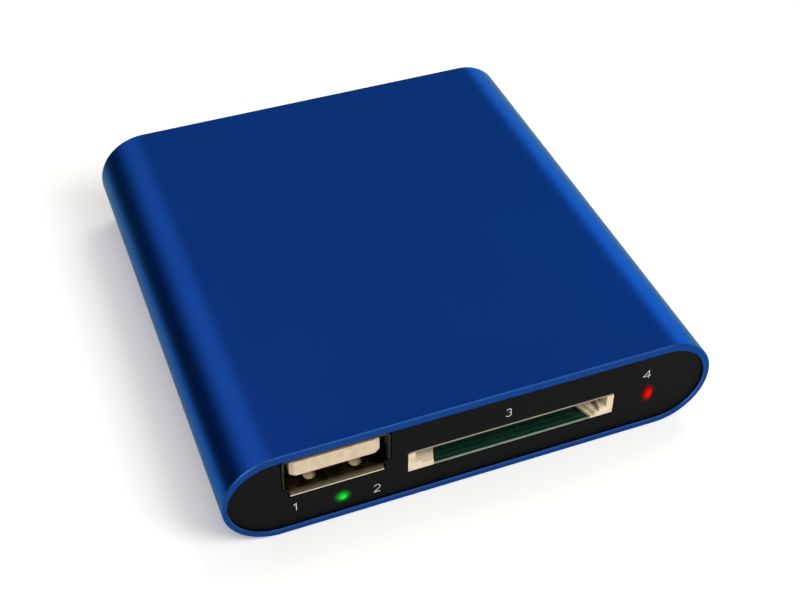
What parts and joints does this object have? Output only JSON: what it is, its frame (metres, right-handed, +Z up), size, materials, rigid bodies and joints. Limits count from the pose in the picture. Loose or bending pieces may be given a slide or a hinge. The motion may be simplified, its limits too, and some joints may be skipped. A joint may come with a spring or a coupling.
{
  "type": "media player",
  "caption": "Slim media player in a flat aluminium sleeve with round ends; front panel with USB port, memory card slot, power light and infrared window.",
  "frame": {"origin": "middle of the underside, where the sleeve stands on a table", "axes": "+Z up, -Y the way the front panel faces, +X to the right of the front panel as one looks at it"},
  "size_m": [0.065, 0.0676, 0.014],
  "materials": {
    "blue_aluminium": "satin blue anodised",
    "black_plastic": "matt black",
    "cream_plastic": "matt cream",
    "bright_steel": "bright plated sheet",
    "black_steel": "blackened",
    "gold_plating": "gold plated",
    "green_board": "dark green solder mask",
    "green_lens": "clear green",
    "red_lens": "clear red"
  },
  "bodies": {
    "player": {"sleeve": "blue_aluminium", "front_panel": "black_plastic", "rear_panel": "black_plastic", "rear_screw_left": "black_steel", "rear_screw_right": "black_steel", "main_board": "green_board", "usb_shell": "bright_steel", "usb_insulator": "cream_plastic", "sd_socket_base": "cream_plastic", "sd_socket_cover": "bright_steel", "card_detect_blade": "gold_plating", "write_lock_blade": "gold_plating", "sd_eject_spring": "bright_steel", "power_light_pipe": "green_lens", "power_led": "cream_plastic", "ir_window": "red_lens", "ir_receiver": "black_plastic", "hdmi_shell": "bright_steel", "hdmi_insulator": "black_plastic", "av_jack_body": "black_plastic", "av_jack_ring": "bright_steel", "dc_jack_body": "black_plastic", "dc_jack_pin": "bright_steel", "media_processor": "black_plastic", "memory_chip": "black_plastic", "flash_chip": "black_plastic", "crystal": "bright_steel", "voltage_regulator": "black_plastic", "power_inductor": "black_steel", "usb_contact_1": "gold_plating", "usb_contact_2": "gold_plating", "usb_contact_3": "gold_plating", "usb_contact_4": "gold_plating", "sd_contact_1": "gold_plating", "sd_contact_2": "gold_plating", "sd_contact_3": "gold_plating", "sd_contact_4": "gold_plating", "sd_contact_5": "gold_plating", "sd_contact_6": "gold_plating", "sd_contact_7": "gold_plating", "sd_contact_8": "gold_plating", "sd_contact_9": "gold_plating", "capacitor_1": "bright_steel", "capacitor_2": "bright_steel", "capacitor_3": "bright_steel"},
    "eject_slider": {"sd_eject_slider": "cream_plastic"},
    "cam_follower": {"sd_cam_pin": "bright_steel"}
  },
  "joints": [
    {"name": "sd_eject", "type": "slide", "parent": "player", "child": "eject_slider", "axis": [0, 1, 0], "range_m": [0, 0.0045], "stiffness_N_per_m": 100, "springref_m": -0.002, "deforming": ["sd_eject_spring"]},
    {"name": "cam_swing", "type": "hinge", "parent": "player", "child": "cam_follower", "pos_m": [0.0171, -0.00425, 0.00685], "axis": [0, 0, 1], "range_deg": [0, 2.05]}
  ],
  "couplings": [
    {"joint": "cam_swing", "follows": "sd_eject", "rad_per_m": 7.909}
  ]
}
